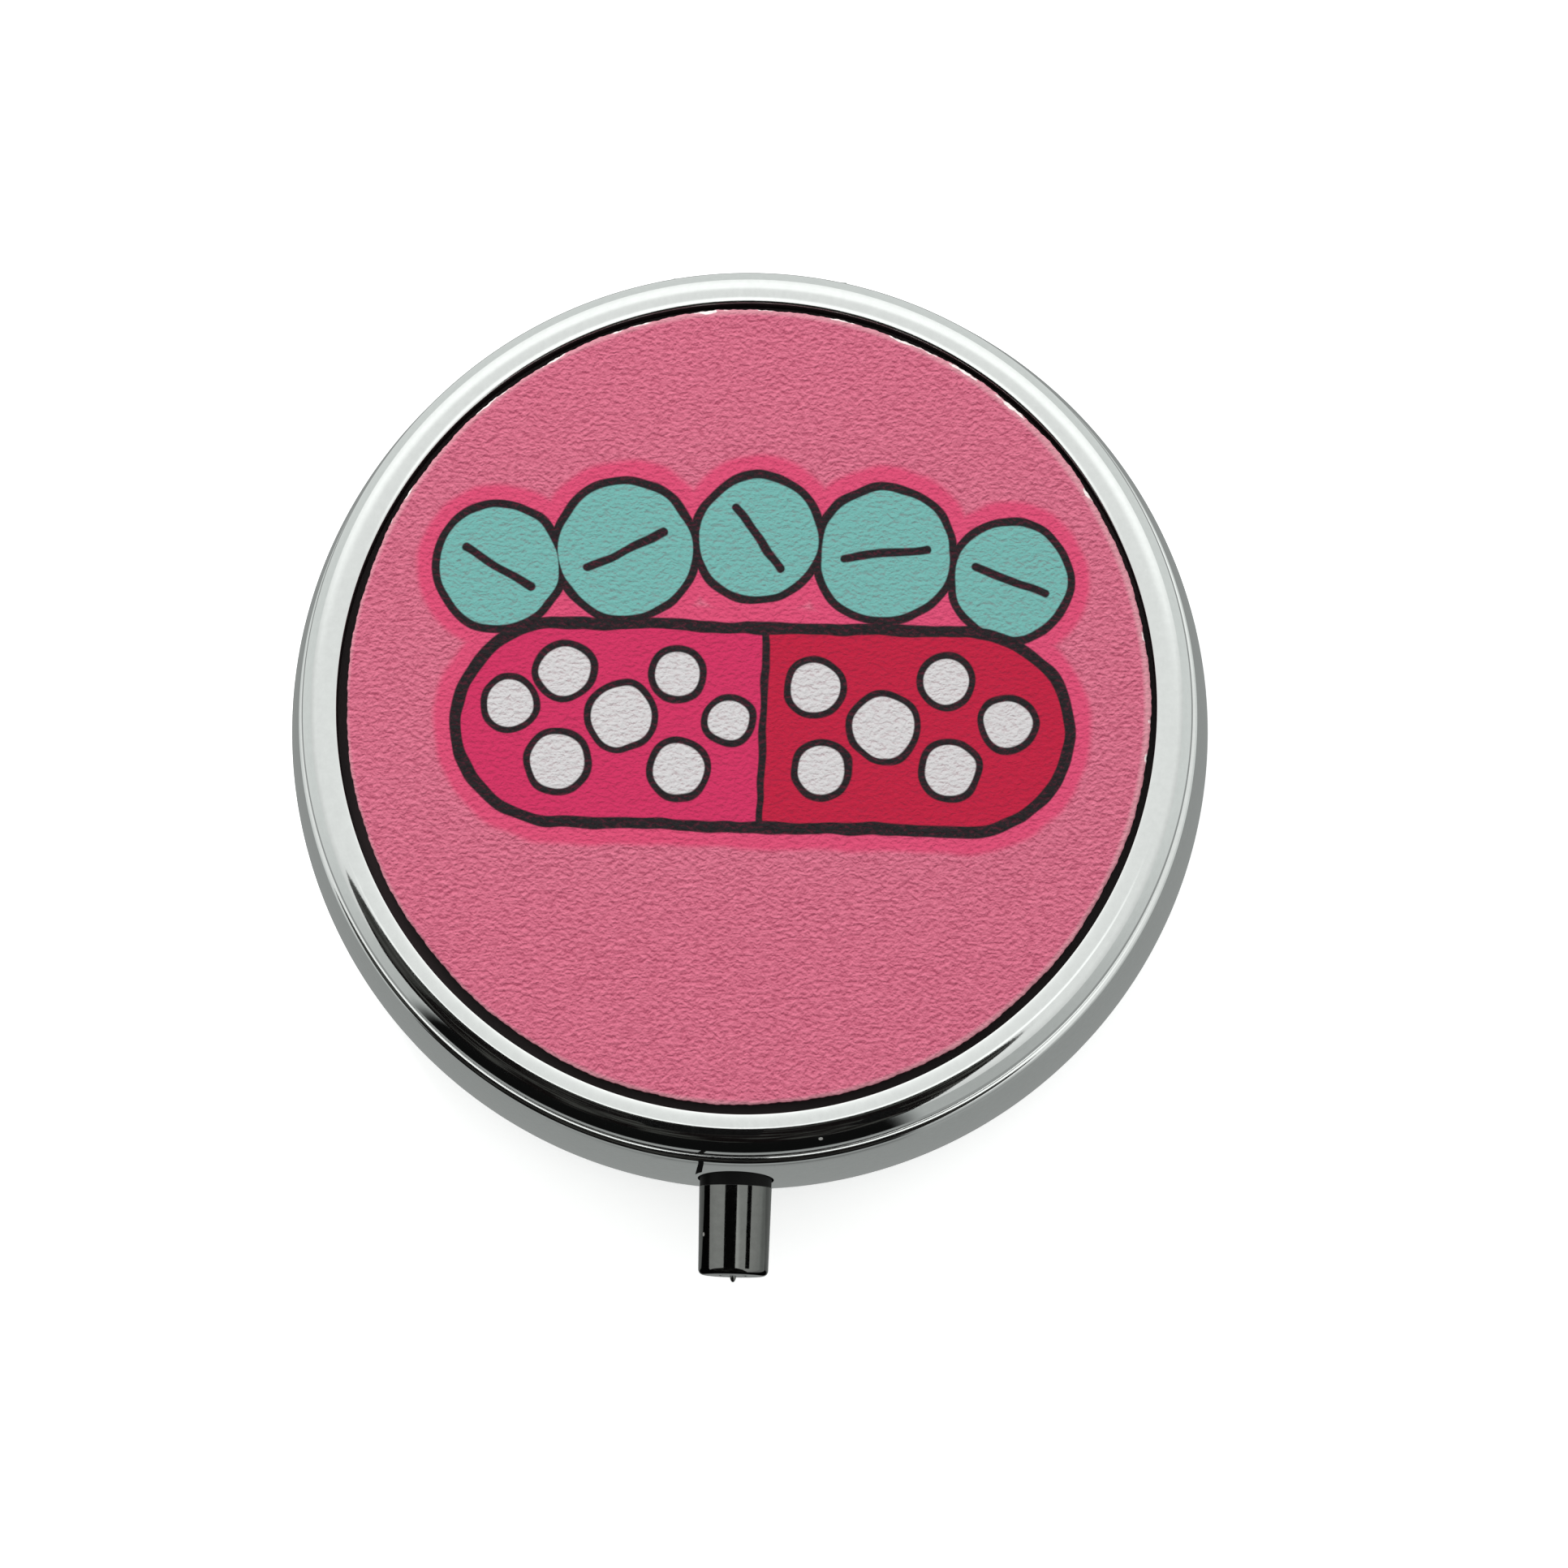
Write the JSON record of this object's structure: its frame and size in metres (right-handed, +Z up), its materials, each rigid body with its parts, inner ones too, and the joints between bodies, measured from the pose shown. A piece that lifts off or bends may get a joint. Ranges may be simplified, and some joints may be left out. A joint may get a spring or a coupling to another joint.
{
  "type": "pill box",
  "caption": "Round chrome pocket pill box with a hinged lid, a leathercloth disc on top, a sprung push-button latch and a divided tray inside.",
  "frame": {"origin": "middle of the flat underside", "axes": "+Z up through the lid, -Y out of the push button, +Y to the hinge"},
  "size_m": [0.05, 0.0553, 0.015],
  "materials": {
    "chrome": "bright plated steel with fine rubs",
    "dark_chrome": "bright plated rod",
    "white_plastic": "moulded, semi-gloss",
    "black_plastic": "moulded, satin",
    "zinc_steel": "zinc-plated strip, satin",
    "spring_steel": "drawn spring wire",
    "leathercloth": "fine pebbled grain, printed",
    "card": "grey pressed card",
    "glue": "transfer adhesive",
    "mirror": "silvered glass",
    "foam": "closed-cell foam tape"
  },
  "bodies": {
    "case": {"case_shell": "chrome", "pill_tray": "white_plastic", "case_hinge_leaf": "zinc_steel", "hinge_pin": "chrome", "hinge_spring": "spring_steel", "latch_bracket": "zinc_steel"},
    "button": {"push_button": "dark_chrome", "button_collar": "black_plastic", "button_stem": "dark_chrome", "button_spring": "spring_steel", "stem_clip": "spring_steel", "release_catch": "zinc_steel"},
    "lid": {"lid_shell": "chrome", "face_disc": "leathercloth", "face_card": "card", "face_glue": "glue", "mirror_glass": "mirror", "mirror_pad": "foam", "lid_hinge_leaf": "zinc_steel", "latch_hook": "zinc_steel"}
  },
  "joints": [
    {"name": "lid_hinge", "type": "hinge", "parent": "case", "child": "lid", "pos_m": [0, 0.0228, 0.0114], "axis": [-1, 0, 0], "range_deg": [0, 100], "deforming": ["hinge_spring"]},
    {"name": "button_press", "type": "slide", "parent": "case", "child": "button", "axis": [0, 1, 0], "range_m": [0, 0.0015], "stiffness_N_per_m": 1000, "deforming": ["button_spring"]}
  ]
}
